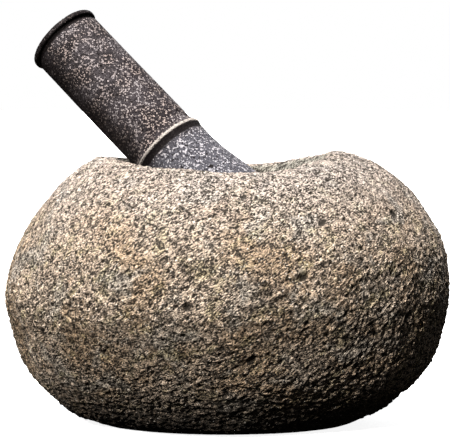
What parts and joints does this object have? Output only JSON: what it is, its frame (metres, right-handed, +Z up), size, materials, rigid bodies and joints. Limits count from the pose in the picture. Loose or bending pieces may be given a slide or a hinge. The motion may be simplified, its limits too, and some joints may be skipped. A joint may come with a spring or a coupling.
{
  "type": "molcajete",
  "caption": "Legless stone mortar worked from one rounded boulder, with a round bowl in its dipped top and a loose ringed stone pestle that leans in the bowl and lifts out.",
  "frame": {"origin": "on the surface that the mortar stands on, at the bottom centre of the whole object's box, which is under the middle of the boulder", "axes": "+Z up, +X along the boulder's long side, +Y towards its back; the pestle leans out over the -X +Y part of the rim"},
  "size_m": [0.2558, 0.2265, 0.24],
  "materials": {
    "boulder_stone": "rough, pecked and pitted, unpolished",
    "pestle_stone": "dark and finely speckled, worn smooth in the hand"
  },
  "bodies": {
    "mortar": {"mortar": "boulder_stone"},
    "pestle": {"pestle": "pestle_stone"}
  },
  "joints": [
    {"name": "pestle_lift", "type": "slide", "parent": "mortar", "child": "pestle", "axis": [0, 0, 1], "range_m": [0, 0.12]}
  ]
}
